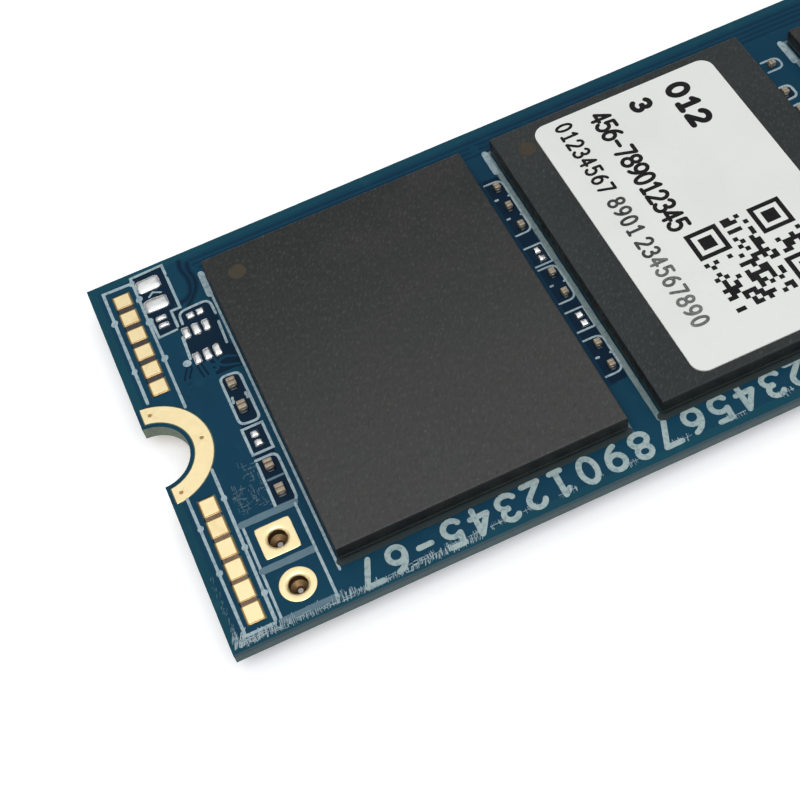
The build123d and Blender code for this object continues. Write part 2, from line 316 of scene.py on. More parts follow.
class Finish:
    """A procedural material. Patterns are laid in the row frame, with sizes in millimetres."""

    def __init__(self, name, colour, roughness, **sockets):
        self.material = bpy.data.materials.new(name)
        self.material.use_nodes = True
        self.tree = self.material.node_tree
        self.shader = self.tree.nodes["Principled BSDF"]
        set_values(self.shader, {"Base Color": (*colour, 1), "Roughness": roughness})
        for socket, value in sockets.items():
            set_values(self.shader, {socket.replace("_", " ").title().replace("Ior", "IOR"): value})
        self.colour = colour
        self.place = self.tree.nodes.new("ShaderNodeTexCoord").outputs["Object"]
        self.normal = None

    def link(self, source, target):
        self.tree.links.new(source, target)

    def node(self, kind, values, **sources):
        """A new node with constant values on some inputs and links from the sources to others."""
        node = self.tree.nodes.new("ShaderNode" + kind)
        set_values(node, values)
        for socket, source in sources.items():
            self.link(source, node.inputs[socket])
        return node

    def mapped(self, stretch=(1, 1, 1), turn=0.0, shift=(0, 0, 0)):
        """Row-frame coordinates in millimetres, stretched, turned about the vertical and shifted."""
        values = {
            "Scale": [MM / s for s in stretch],
            "Rotation": (0, 0, math.radians(turn)),
            "Location": [s * MM for s in shift],
        }
        node = self.node("Mapping", values, Vector=self.place)
        node.vector_type = "TEXTURE"
        return node.outputs["Vector"]

    def ranged(self, value, low, high, start=0.0, end=1.0):
        """A smooth step of the value from start, at low, to end, at high."""
        node = self.node("MapRange", range_values(low, high, start, end), Value=value)
        node.interpolation_type = "SMOOTHSTEP"
        return node.outputs["Result"]

    def noise(self, size, low=0.35, high=0.65, detail=3.0, stretch=(1, 1, 1), turn=0.0, shift=(0, 0, 0)):
        """Cloudy pattern with features about size millimetres across, from 0 below low to 1 above high."""
        place = self.mapped(stretch, turn, shift)
        node = self.node("TexNoise", {"Scale": 1 / size, "Detail": detail}, Vector=place)
        return self.ranged(node.outputs["Fac"], low, high)

    def grains(self, size, radius, shift=(0, 0, 0)):
        """Round grains, 1 at the centre, one in each cell of the given size."""
        node = self.node("TexVoronoi", {"Scale": 1 / size}, Vector=self.mapped(shift=shift))
        return self.ranged(node.outputs["Distance"], radius / size, 0.3 * radius / size)

    def stripes(self, pitch, axis, low, high, waver):
        """Bands across an axis, of the given pitch in millimetres."""
        values = {"Scale": math.tau / 20 / pitch, "Distortion": waver, "Detail Scale": 1.5}
        node = self.node("TexWave", values, Vector=self.mapped())
        node.bands_direction = axis
        return self.ranged(node.outputs["Fac"], low, high)

    def upright(self):
        """1 on faces that stand upright, 0 on level ones."""
        normal = self.node("NewGeometry", {}).outputs["True Normal"]
        rise = self.node("SeparateXYZ", {}, Vector=normal).outputs["Z"]
        return self.ranged(self.both(rise, rise), 0.7, 0.2)

    def along(self, axis, low, high):
        """A smooth step of a row-frame coordinate, in millimetres, from 0 at low to 1 at high."""
        return self.ranged(self.node("SeparateXYZ", {}, Vector=self.mapped()).outputs[axis], low, high)

    def both(self, one, other):
        node = self.node("Math", {})
        node.operation = "MULTIPLY"
        self.link(one, node.inputs[0])
        self.link(other, node.inputs[1])
        return node.outputs["Value"]

    def tint(self, colour, mask, amount=1.0):
        node = self.node("Mix", {})
        node.data_type = "RGBA"
        base = self.shader.inputs["Base Color"]
        if base.is_linked:
            self.link(base.links[0].from_socket, node.inputs["A"])
        else:
            node.inputs["A"].default_value = (*self.colour, 1)
        node.inputs["B"].default_value = (*colour, 1)
        if amount != 1.0:
            mask = self.ranged(mask, 0, 1, 0, amount)
        self.link(mask, node.inputs["Factor"])
        self.link(node.outputs["Result"], base)

    def rough(self, low, high, mask):
        self.link(self.ranged(mask, 0, 1, low, high), self.shader.inputs["Roughness"])

    def bump(self, depth, mask, strength=1.0):
        """Relief of the given depth in millimetres, added to any relief before it."""
        node = self.node("Bump", {"Strength": strength, "Distance": depth * MM}, Height=mask)
        if self.normal is not None:
            self.link(self.normal, node.inputs["Normal"])
        self.normal = node.outputs["Normal"]
        self.link(self.normal, self.shader.inputs["Normal"])


def make_mask(name, colour, deep, bright):
    """Satin blue solder mask over copper or laminate."""
    f = Finish(name, colour, 0.34, specular_ior_level=0.05)
    f.tint(deep, f.noise(6.0, 0.3, 0.7, detail=2), 0.55)
    f.tint(bright, f.noise(0.9, 0.52, 0.8, detail=5), 0.35)
    f.tint(bright, f.grains(1.7, 0.05), 0.5)
    f.rough(0.28, 0.46, f.noise(1.6, detail=4))
    f.bump(0.006, f.noise(0.5, 0.2, 0.8, detail=2), 0.35)
    f.bump(0.004, f.stripes(0.45, "X", 0, 1, 2.0), 0.12)
    f.bump(0.004, f.stripes(0.45, "Y", 0, 1, 2.0), 0.12)
    return f.material


def make_ink(name, colour, worn):
    f = Finish(name, colour, 0.6, specular_ior_level=0.3)
    f.tint(worn, f.noise(0.22, 0.42, 0.72, detail=4), 0.75)
    f.tint(worn, f.noise(2.5, 0.4, 0.7), 0.35)
    f.bump(0.006, f.noise(0.07, 0.2, 0.8), 0.6)
    return f.material


def make_gold(name, colour, tarnish):
    f = Finish(name, colour, 0.38, metallic=0.9)
    f.tint(tarnish, f.noise(1.1, 0.5, 0.85, detail=4), 0.4)
    f.tint(tarnish, f.grains(0.9, 0.04), 0.7)
    f.rough(0.3, 0.46, f.noise(0.35, detail=4))
    f.bump(0.004, f.noise(0.12, 0.2, 0.8, detail=3), 0.5)
    f.bump(0.003, f.noise(0.5, 0.3, 0.7, stretch=(0.15, 1, 1), turn=30), 0.4)
    return f.material


def make_solder(name, colour, roughness):
    f = Finish(name, colour, roughness, metallic=1.0)
    f.tint((0.5, 0.49, 0.47), f.noise(0.3, 0.5, 0.75, detail=3), 0.25)
    f.rough(roughness * 0.8, roughness * 1.4, f.noise(0.3, detail=2))
    f.bump(0.012, f.noise(0.3, 0.2, 0.8, detail=1), 0.5)
    return f.material


def make_mould(name, colour, dust, sheen, sawn_side_shade=None, near=None):
    """Glass-filled epoxy: matt and speckled, with fine wipe marks.

    The upright sides can be painted darker, partly for the saw-cut faces and partly as painted shade, and the
    part towards the board's near edge lighter, as painted light.
    """
    f = Finish(name, colour, 0.55, specular_ior_level=0.3)
    # painted light: the mould turns lighter towards the board's near edge, where the lamp is
    if near:
        f.tint(near, f.along("Y", 10.5, -10.5))
    f.tint(sheen, f.noise(5.0, 0.35, 0.7, detail=3), 0.3 if near else 0.5)
    f.tint(dust, f.noise(0.11, 0.46, 0.8, stretch=(1, 0.4, 1), turn=-38, detail=3), 0.2)
    wiped = f.noise(0.14, 0.5, 0.8, stretch=(1, 0.35, 1), turn=-30, detail=3, shift=(5, 2, 0))
    f.tint((0.018, 0.02, 0.019), wiped, 0.6)
    f.tint(dust, f.both(f.grains(0.16, 0.035), f.noise(1.6, 0.42, 0.62)), 0.3)
    f.tint(dust, f.both(f.grains(0.9, 0.045, (3, 1, 0)), f.noise(2.5, 0.5, 0.6)), 0.7)
    # painted shade, partly the saw-cut faces: the upright sides go darker
    if sawn_side_shade:
        f.tint(sawn_side_shade, f.upright(), 0.92)
    f.rough(0.46, 0.64, f.noise(0.3, detail=4))
    f.bump(0.012, f.noise(0.07, 0.25, 0.75, detail=2), 0.8)
    return f.material


def make_laminate(name):
    """Glass-cloth laminate: copper planes and resin-rich plies show on the milled edge."""
    f = Finish(name, (0.115, 0.15, 0.105), 0.66, specular_ior_level=0.3)
    f.tint((0.2, 0.235, 0.175), f.stripes(0.12, "Z", 0.35, 0.75, 1.2), 0.7)
    f.tint((0.055, 0.075, 0.06), f.noise(0.25, 0.45, 0.75, stretch=(1, 1, 4), detail=4), 0.6)
    f.tint((0.32, 0.36, 0.28), f.noise(0.12, 0.6, 0.8, stretch=(1, 1, 3), detail=4), 0.5)
    # mask that ran a little way down both long edges
    for side in (-1, 1):
        long_edge = f.along("Y", side * (HALF_WIDTH - 0.1), side * (HALF_WIDTH - 0.02))
        f.tint((0.035, 0.065, 0.08), long_edge, 0.85)
        f.tint((0.009, 0.045, 0.066), f.both(long_edge, f.along("Z", 1.5, 1.74)), 0.85)
    f.bump(0.02, f.noise(0.1, 0.25, 0.75, stretch=(1, 1, 5), detail=3), 0.6)
    return f.material


def make_paper(name):
    f = Finish(name, (0.72, 0.725, 0.69), 0.5, coat_weight=0.15, coat_roughness=0.3, specular_ior_level=0.35)
    f.tint((0.66, 0.66, 0.62), f.noise(4.0, 0.35, 0.75), 0.4)
    f.tint((0.62, 0.62, 0.59), f.noise(0.18, 0.55, 0.8, detail=4), 0.3)
    f.bump(0.006, f.noise(0.16, 0.2, 0.8, stretch=(0.5, 1, 1), turn=15, detail=4), 0.4)
    return f.material


def make_plain(name, colour, other, roughness, size, depth, **sockets):
    """A solid colour that drifts to a second one in clouds, with matching relief."""
    f = Finish(name, colour, roughness, **sockets)
    f.tint(other, f.noise(size, 0.4, 0.75, detail=4), 0.7)
    f.tint(other, f.noise(size * 6, 0.35, 0.7), 0.4)
    f.rough(roughness * 0.85, min(1.0, roughness * 1.2), f.noise(size * 2, detail=3))
    f.bump(depth, f.noise(size, 0.2, 0.8, detail=3), 0.6)
    return f.material


def make_brushed(name, colour, dark, turn):
    """Nickel-plated metal with fine straight polishing lines."""
    f = Finish(name, colour, 0.3, metallic=1.0)
    f.tint(dark, f.noise(0.05, 0.35, 0.75, stretch=(0.03, 1, 1), turn=turn, detail=4), 0.25)
    f.tint(dark, f.noise(3.0, 0.4, 0.75), 0.3)
    f.rough(0.3, 0.38, f.noise(0.08, stretch=(0.04, 1, 1), turn=turn, detail=3))
    f.bump(0.0008, f.noise(0.05, 0.2, 0.8, stretch=(0.03, 1, 1), turn=turn, detail=3), 0.5)
    return f.material


mask = make_mask("mask_over_copper", (0.006, 0.045, 0.08), (0.006, 0.036, 0.07), (0.012, 0.065, 0.1))
# dark mask over bare laminate, also used as painted shade round the test pad rows and beside flash package A
mask_deep = make_mask("mask_over_laminate_and_painted_shade", (0.004, 0.017, 0.036), (0.004, 0.013, 0.03), (0.007, 0.03, 0.05))
# mask painted lighter at the board's edges: the copper stops short there, and the lighter teal is also a
# painted reflection
mask_edge = make_mask("mask_at_edge_and_painted_reflection", (0.008, 0.056, 0.084), (0.008, 0.045, 0.07), (0.02, 0.09, 0.11))
# mask over tracks, also used as painted shade beside flash package A
mask_shade = make_mask("mask_over_tracks_and_painted_shade", (0.005, 0.031, 0.06), (0.005, 0.026, 0.052), (0.009, 0.05, 0.08))
ink = make_ink("silk_ink", (0.33, 0.42, 0.45), (0.17, 0.25, 0.29))
ink_thin = make_ink("silk_ink_thin", (0.1, 0.165, 0.2), (0.08, 0.15, 0.2))
ink_grey = make_ink("silk_ink_grey", (0.2, 0.25, 0.25), (0.1, 0.16, 0.17))
ink_text = make_ink("silk_ink_numerals", (0.33, 0.41, 0.4), (0.17, 0.25, 0.28))
# silk ink painted near black, as the shade each package casts on the broad line along its near side
ink_in_painted_shade = make_ink("silk_ink_in_painted_shade", (0.022, 0.033, 0.034), (0.016, 0.03, 0.034))
scuff = make_ink("scuffed_mask", (0.34, 0.41, 0.43), (0.14, 0.22, 0.27))
scuff_dim = make_ink("scuffed_mask_dim", (0.09, 0.15, 0.19), (0.04, 0.09, 0.12))
gold = make_gold("gold_plating", (1.0, 0.82, 0.47), (0.72, 0.48, 0.2))
# gold of the barrels painted dark brown, as the shade inside the plated holes
shaded_barrel_gold = make_gold("gold_barrel_painted_shade", (0.16, 0.098, 0.046), (0.07, 0.04, 0.018))
# brown gold: the via plugs' own tin-brown, and painted shade on the rims of the pads
brown_gold_and_rim_shade = make_gold("gold_brown_and_painted_rim_shade", (0.42, 0.27, 0.11), (0.22, 0.12, 0.05))
solder = make_solder("tinned_solder", (0.82, 0.81, 0.8), 0.24)
solder_dull = make_solder("fillet_solder", (0.2, 0.19, 0.18), 0.4)
balls = make_solder("ball_solder", (0.6, 0.61, 0.62), 0.34)
tin = make_plain("end_cap_tin", (0.36, 0.3, 0.22), (0.24, 0.19, 0.135), 0.42, 0.1, 0.01, metallic=0.3)
# flux colour painted darker as shade, for the far row's gaps
flux_and_painted_shade = make_plain("flux_and_painted_shade", (0.04, 0.03, 0.027), (0.02, 0.016, 0.016), 0.4, 0.12, 0.01)
flux = make_plain("flux_brown", (0.17, 0.105, 0.06), (0.08, 0.05, 0.03), 0.4, 0.12, 0.01)
# dark colour of the upright package sides: partly the saw-cut faces, partly painted shade
SAWN_SIDE_SHADE = (0.004, 0.0055, 0.0055)
# the last colour is painted light, which lightens the mould towards the board's near edge
mould = make_mould(
    "mould_charcoal",
    (0.0135, 0.0145, 0.0142),
    (0.15, 0.145, 0.125),
    (0.038, 0.036, 0.032),
    SAWN_SIDE_SHADE,
    (0.041, 0.0415, 0.0405),
)
mould_cool = make_mould("mould_cool", (0.0165, 0.021, 0.021), (0.14, 0.15, 0.14), (0.026, 0.029, 0.027), SAWN_SIDE_SHADE)
pin_dot = make_mould("pin_dot_brown", (0.046, 0.036, 0.02), (0.08, 0.065, 0.04), (0.04, 0.032, 0.018))
substrate = make_plain("substrate_dark", (0.01, 0.016, 0.013), (0.025, 0.035, 0.025), 0.5, 0.2, 0.01)
laminate = make_laminate("laminate_edge")
silicon = make_plain("silicon_grey", (0.12, 0.125, 0.14), (0.2, 0.2, 0.22), 0.2, 0.4, 0.002, metallic=0.6)
lid_metal = make_brushed("lid_nickel", (0.56, 0.55, 0.52), (0.3, 0.3, 0.29), 12)
paper = make_paper("label_stock")
dull = {"specular_ior_level": 0.15}
black = make_plain("print_black", (0.006, 0.005, 0.006), (0.016, 0.014, 0.015), 0.6, 0.15, 0.004, **dull)
dim_print = make_plain("print_dim", (0.03, 0.03, 0.032), (0.09, 0.09, 0.09), 0.6, 0.12, 0.004, **dull)
grey_print = make_plain("print_grey", (0.09, 0.09, 0.09), (0.22, 0.22, 0.21), 0.6, 0.12, 0.004, **dull)
ceramic = make_plain("capacitor_tan", (0.15, 0.088, 0.055), (0.08, 0.048, 0.032), 0.42, 0.09, 0.008)
ceramic_big = make_plain("capacitor_brown", (0.2, 0.13, 0.085), (0.11, 0.07, 0.045), 0.45, 0.15, 0.01)
resistor = make_plain("resistor_black", (0.018, 0.018, 0.02), (0.05, 0.05, 0.055), 0.35, 0.1, 0.006)
ferrite = make_plain("ferrite_grey", (0.055, 0.055, 0.06), (0.12, 0.12, 0.125), 0.7, 0.08, 0.02)
copper = make_plain("coil_copper", (0.62, 0.26, 0.13), (0.4, 0.15, 0.07), 0.3, 0.15, 0.006, metallic=0.9)
crystal_body = make_plain("crystal_ceramic", (0.06, 0.05, 0.042), (0.1, 0.09, 0.08), 0.5, 0.12, 0.01)

# finishes by the first or last words of a node's name; the first match counts, and the rest is solder
PAINTED = (
    ("flash_top_b_mould", mould_cool),
    ("solder_mask", mask),
    ("circuit_board", laminate),
    ("label", paper),
    ("crystal_base", crystal_body),
    ("inductor_coils", copper),
    ("inductor_cores", ferrite),
    ("edge_contacts", gold),
    ("mount_ring", gold),
    ("plated_hole", gold),
    ("test_pads", gold),
    ("_lid", lid_metal),
    ("_mould", mould),
    ("_body", mould),
    ("_substrate", substrate),
    ("_balls", balls),
    ("_die", silicon),
    ("_dies", silicon),
)
for name, node in nodes.items():
    matches = [finish for words, finish in PAINTED if name.startswith(words) or name.endswith(words)]
    node.data.materials.clear()
    node.data.materials.append((matches + [solder])[0])


def soften(node, width, segments=2, angle=35):
    """Welds a CAD node's facets and rounds its edges, without changing its own mesh."""
    weld = nodes[node].modifiers.new("weld", "WELD")
    weld.merge_threshold = 1e-7
    bevel = nodes[node].modifiers.new("edges", "BEVEL")
    bevel.width = width * MM
    bevel.segments = segments
    bevel.limit_method = "ANGLE"
    bevel.angle_limit = math.radians(angle)


for name in nodes:
    if name.endswith(("_mould", "_body")):
        soften(name, 0.035)
    elif name.endswith("_substrate"):
        soften(name, 0.02)
for name in ("mount_ring_top", "mount_ring_under"):
    soften(name, 0.014)
for name in ("controller_lid", "crystal_lid", "crystal_base"):
    soften(name, 0.05)
for name in ("edge_contacts_top", "edge_contacts_under", "inductor_terminals"):
    soften(name, 0.012, 1)


# ---------------------------------------------------------------- gold pads


def pad_outline(low, high, radius, inset):
    """A rounded rectangle, drawn from its corners in the row frame."""
    x0, y0, x1, y1 = low[0] + inset, low[1] + inset, high[0] - inset, high[1] - inset
    r = max(radius - inset, 0.02)
    out = []
    turns = zip(corners(x0 + r, y0 + r, x1 - r, y1 - r), (180, 270, 0, 90))
    for (x, y), start in turns:
        out += arc(x, y, r, r, start, start + 90, 4)
    return out


def make_test_pads(name):
    """Test pads with rounded corners and soft, slightly uneven rims, painted brown as the shade at the pads'
    edges.
    """
    shape = Shape()
    for low, high in islands(name):
        radius = uniform(0.07, 0.12)
        low[:2] -= uniform(-0.012, 0.012, 2)
        high[:2] += uniform(-0.012, 0.012, 2)
        top = high[2] + 0.02
        rim = [pad_outline(low, high, radius, inset) for inset in (-0.025, -0.025, 0.01, 0.05)]
        # tag 1 gives the rim the brown of painted shade at the pad's edge
        stacked(shape, rim, (low[2], top - 0.03, top - 0.008, top - 0.002), 1)
        face = [pad_outline(low, high, radius, inset) for inset in (0.045, 0.06)]
        stacked(shape, face, (top - 0.004, top), 0)
    shape.make(name + "_plated", [gold, brown_gold_and_rim_shade], replaces=[name])


make_test_pads("test_pads_far")
make_test_pads("test_pads_near")

# brown flux left in the narrow gaps of the near row; in the far row it is painted darker, as shade
residue = Shape()
for tag, name in enumerate(("test_pads_near", "test_pads_far")):
    row = sorted(islands(name), key=lambda ends: ends[0][1])
    for (low, high), (next_low, next_high) in zip(row[:-1], row[1:]):
        outline = corners(low[0] + 0.03, high[1] - 0.02, high[0] - 0.03, next_low[1] + 0.02)
        plate(residue, outline, low[2], DECK + 0.007, tag)
residue.make("flux_residue_and_painted_shade", [flux, flux_and_painted_shade])


def make_hole(name, square):
    """A plated hole: two pads whose inner lips roll over into the barrel, with solder left low in it."""
    low, high = (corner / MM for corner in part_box(name))
    x, y = (low.x + high.x) / 2, (low.y + high.y) / 2
    half = (high.x - low.x) / 2 + 0.05
    steps = 48
    angles = np.linspace(0, 2 * math.pi, steps, endpoint=False)
    circle = np.stack([np.cos(angles), np.sin(angles)], 1)
    if square:
        outer = circle / (abs(circle) ** 16).sum(axis=1)[:, None] ** (1 / 16) * half
    else:
        outer = circle * half
    # rows of (radius, or None for the pad's outline; height; inset of that outline), from the top down
    profile = [(None, high.z - 0.03, 0.0), (None, high.z + 0.008, 0.0), (None, high.z + 0.016, 0.03)]
    lip = ((0.67, 0.02), (0.57, 0.012), (0.5, -0.018), (0.455, -0.07), (0.435, -0.14))
    profile += [(r, high.z + rise, 0) for r, rise in lip]
    below = [(r, low.z + high.z - z, inset) for r, z, inset in profile]
    profile.append((0.43, (high.z + low.z) / 2, 0))
    profile += [(r, low.z + rise, 0) for r, rise in ((0.42, 0.36), (0.18, 0.22), (0.12, 0.14))]
    profile += below[::-1]
    count = len(profile)
    in_barrel = [r is not None and r < 0.48 for r, _, _ in profile]
    # the barrel takes gold painted dark as the shade in the hole, and the pads' outer sides the brown of
    # painted shade
    face, barrel, rim = range(3)
    shape = Shape()
    for r, z, inset in profile:
        ring = outer * (1 - inset / half) if r is None else circle * r
        shape.vertices += [(x + a, y + b, z) for a, b in ring]
    for level in range(count):
        following = (level + 1) % count
        tag = rim if level in (0, count - 2) else face
        if in_barrel[level] and in_barrel[following]:
            tag = barrel
        shape.faces += ring_faces(level * steps, following * steps, steps)
        shape.tags += [tag] * steps
    shape.make(name + "_flared", [gold, shaded_barrel_gold, brown_gold_and_rim_shade], replaces=[name])


make_hole("plated_hole_square", True)
make_hole("plated_hole_round", False)


# ---------------------------------------------------------------- solder and chips


def make_solder_domes():
    """Tinned pads: each dome leans and ripples a little, as printed paste does when it melts."""
    shape = Shape()
    steps = 28
    rings = ((1.03, 0.0), (1.03, 0.1), (1.0, 0.34), (0.93, 0.6), (0.79, 0.82), (0.52, 0.96), (0.2, 1.0))
    for low, high in islands("bare_solder_pads"):
        centre = (low + high) / 2
        half = (high - low) / 2
        if half[1] < 0.2:
            half[:2] += (0.05, 0.02)
        elif half.max() < 0.34:
            half[:2] += (0.05, 0.04)
        else:
            half[:2] += 0.02
        rise = (1.8 if half.max() < 0.4 else 1.3) * (high[2] - low[2])
        lean = uniform(-0.25, 0.25, 2)
        phase = uniform(0, 6.28, 3)
        dome = []
        for size, level in rings:
            ring = []
            for k, (x, y) in enumerate(superellipse(8.5, steps)):
                turn = math.tau * k / steps
                ripple = 1 + 0.035 * math.sin(3 * turn + phase[0]) + 0.025 * math.sin(5 * turn + phase[1])
                reach = size * (ripple if size < 1 else 1)
                tilt = (lean[0] * x + lean[1] * y) * size
                dip = 0.12 * math.sin(4 * x * size + phase[2]) * (1 - size)
                up = rise * max(0.0, min(1.0, level * (1 + 0.4 * tilt + dip)))
                ring.append((centre[0] + half[0] * x * reach, centre[1] + half[1] * y * reach, low[2] + up))
            dome.append(ring)
        loft(shape, dome)
    shape.make("tinned_pads", [solder], smooth=True, replaces=["bare_solder_pads"])


make_solder_domes()


# a fillet's section: (share of its half width, how far it stands back, share of its height)
FILLET = ((-1, 0.02, 0), (-1, 0.02, 0.72), (-0.55, 0, 1), (0.55, 0, 1), (1, 0.02, 0.72), (1, 0.02, 0))


def solder_fillet(shape, low, high, axis, sign, side):
    """Solder that climbs a chip's end face from its pad in a hollow curve."""
    across = 1 - axis
    tall = high[2] - low[2]
    foot = low[2] if side > 0 else high[2]
    face = high[axis] if sign > 0 else low[axis]
    middle = (low[across] + high[across]) / 2
    half = (high[across] - low[across]) / 2
    rings = []
    for t in np.linspace(0, 1, 5):
        out = 0.26 * tall * t
        up = 0.6 * tall * (1 - t) ** 2.2
        wide = half * (1.02 - 0.22 * t * t)
        ring = []
        for share, back, rise in FILLET:
            point = [0.0, 0.0, foot + side * up * rise]
            point[axis] = face + sign * (out - back)
            point[across] = middle + wide * share
            ring.append(point)
        rings.append(ring)
    loft(shape, rings)


def make_chips(group, name, band_length, edge, body_finish, side):
    """Two-terminal chips: a fired body between two wrapped end caps, each with its solder fillet."""
    bodies, caps = group + "_bodies", group + "_end_caps"
    body_shape = Shape()
    cap_shape = Shape()
    fillet_shape = Shape()
    proud = 0.015
    for low, high in islands(bodies):
        axis = 0 if high[0] - low[0] > high[1] - low[1] else 1
        body_low, body_high = low.copy(), high.copy()
        body_low[axis] += 0.02
        body_high[axis] -= 0.02
        soft_box(body_shape, body_low, body_high, edge)
        for sign in (-1, 1):
            cap_low, cap_high = low - proud, high + proud
            reach = band_length * uniform(0.92, 1.1)
            if sign > 0:
                cap_low[axis] = cap_high[axis] - reach
            else:
                cap_high[axis] = cap_low[axis] + reach
            soft_box(cap_shape, cap_low, cap_high, edge * 1.6, segments=3)
            solder_fillet(fillet_shape, cap_low, cap_high, axis, sign, side)
    body_shape.make(name + "_bodies_fired", [body_finish], smooth=True, replaces=[bodies])
    cap_shape.make(name + "_caps_wrapped", [tin], smooth=True, replaces=[caps])
    fillet_shape.make(name + "_fillets", [solder_dull], smooth=True)


make_chips("ceramic_caps_top", "chips_top", 0.17, 0.022, ceramic, 1)
make_chips("ceramic_caps_notch", "chips_notch", 0.22, 0.03, ceramic, 1)
make_chips("ceramic_caps_under", "chips_under", 0.17, 0.022, ceramic, -1)
make_chips("bulk_caps", "bulk", 0.36, 0.06, ceramic_big, 1)
make_chips("resistors", "resistors", 0.24, 0.03, resistor, 1)


# ---------------------------------------------------------------- board drawings


def outline_of(node, grow=0.0):
    """A node's footprint in drawing coordinates, a little enlarged: left, near, right and far side."""
    low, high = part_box(node)
    return [low.x / MM - START - grow, low.y / MM - grow, high.x / MM - START + grow, high.y / MM + grow]


def boxes_of(node):
    """The footprint of each separate solid of a node, in drawing coordinates."""
    return [(low[0] - START, low[1], high[0] - START, high[1]) for low, high in islands(node)]


def clear_of(boxes, x, y, margin):
    return all(not (b[0] - margin < x < b[2] + margin and b[1] - margin < y < b[3] + margin) for b in boxes)


flash_a = outline_of("flash_top_a_substrate")
flash_b = outline_of("flash_top_b_substrate")
dram = outline_of("dram_top_substrate")
controller = outline_of("controller_substrate")
power = outline_of("power_chip_leads")
crystal = outline_of("crystal_base")
inductor_boxes = boxes_of("inductor_cores")
chip_boxes = boxes_of("ceramic_caps_top_bodies")
chip_boxes_under = boxes_of("ceramic_caps_under_bodies")
notch_boxes = boxes_of("ceramic_caps_notch_bodies")
pad_boxes = boxes_of("bare_solder_pads")
gap_x = np.mean([box[::2] for box in pad_boxes if box[0] > 10])
PACKAGES_UNDER = ("flash_under_a_substrate", "flash_under_b_substrate", "dram_under_substrate")

# line widths, of which those under FINE_BELOW print narrower by FINE_SHARE
LINE = 0.2
THIN = 0.17
FINE = 0.13
WIDE = 0.36
FINE_BELOW = 0.25
FINE_SHARE = 0.8

# inks of the top print, in the order of its finishes
PLAIN_INK, THIN_INK, GREY_INK, SHADED_INK, TEXT_INK = range(5)


def draw(points, width=LINE, closed=False, radius=0.0, tag=PLAIN_INK, side=1):
    """One line of the print on the top (side 1) or the underside (side -1)."""
    if radius:
        points = rounded(points, radius, closed)
    if width < FINE_BELOW:
        width *= FINE_SHARE
    z = DECK if side > 0 else BELLY
    low, high = sorted((z + side * SILK_LOW, z + side * SILK_HIGH))
    band(silk, points, width, low, high, closed, tag, 0.07)


silk = Shape()
# frame round the far row of test pads, with its blobs
draw([(0.71, 3.04), (0.71, 10.4), (2.16, 10.36)])
draw([(2.28, 1.98), (2.27, 10.68), (3.98, 10.73), (3.98, 7.72), (3.5, 7.72), (3.5, 6.66)], 0.18)
draw([(2.42, 7.6), (2.45, 6.46), (3.4, 6.5)], THIN)
draw([(2.78, 9.1), (3.03, 9.3), (3.42, 9.1)], FINE)
for x, y, width in (
    (0.7, 8.36, 0.34),
    (0.7, 5.1, 0.26),
    (2.28, 9.2, 0.34),
    (2.32, 7.62, 0.38),
    (2.3, 5.14, 0.32),
    (2.24, 10.35, 0.28),
):
    draw([(x - 0.03, y - 0.04), (x + 0.03, y + 0.04)], width)
# footprint of the six-pad switch
draw([(3.76, 6.68), (3.78, 7.44), (5.44, 7.5), (5.46, 6.5)], THIN, radius=0.42)
draw([(3.5, 5.9), (3.42, 4.5)], 0.19)
draw([(3.17, 4.33), (3.22, 4.31)], 0.38)
draw([(5.42, 5.97), (5.36, 4.57)], THIN)
# capsules and the box round the notch column
draw([(4.3, 2.76), (5.3, 2.68), (5.3, -0.34), (4.3, -0.26)], THIN, True, 0.34)
for x, y in ((4.44, 1.12), (4.46, 1.32), (5.16, 1.12), (5.14, 1.32)):
    draw([(x, y - 0.05), (x + 0.02, y + 0.05)], THIN)
draw([(4.26, -0.55), (5.28, -0.55), (5.28, -2.08), (4.26, -2.08)], THIN, True)
draw([(4.26, -2.42), (5.3, -2.42), (5.3, -5.24), (4.26, -5.34)], THIN, False, 0.36)
draw([(4.26, -2.6), (4.24, -5.3)], THIN)
draw([(4.4, -3.66), (5.2, -3.66)], 0.15, tag=THIN_INK)
# frame round the near row of test pads and the plated holes
draw([(0.72, -2.82), (0.8, -10.42), (2.2, -10.42)], 0.18)
draw([(2.27, -1.9), (2.24, -10.3)], 0.2)
draw([(2.52, -5.28), (2.5, -10.46)], 0.16)
draw([(2.5, -5.28), (5.1, -5.28)], WIDE, tag=THIN_INK)
draw([(2.55, -7.88), (4.98, -7.88)], WIDE, tag=THIN_INK)
draw([(2.5, -10.48), (5.1, -10.48)], WIDE * 0.8, tag=THIN_INK)
draw([(5.1, -5.35), (5.1, -10.48)], THIN)
for x, y in ((0.76, -4.6), (0.78, -7.1), (2.26, -3.6), (2.25, -6.4), (2.25, -8.9)):
    draw([(x, y), (x + 0.02, y + 0.03)], 0.3)
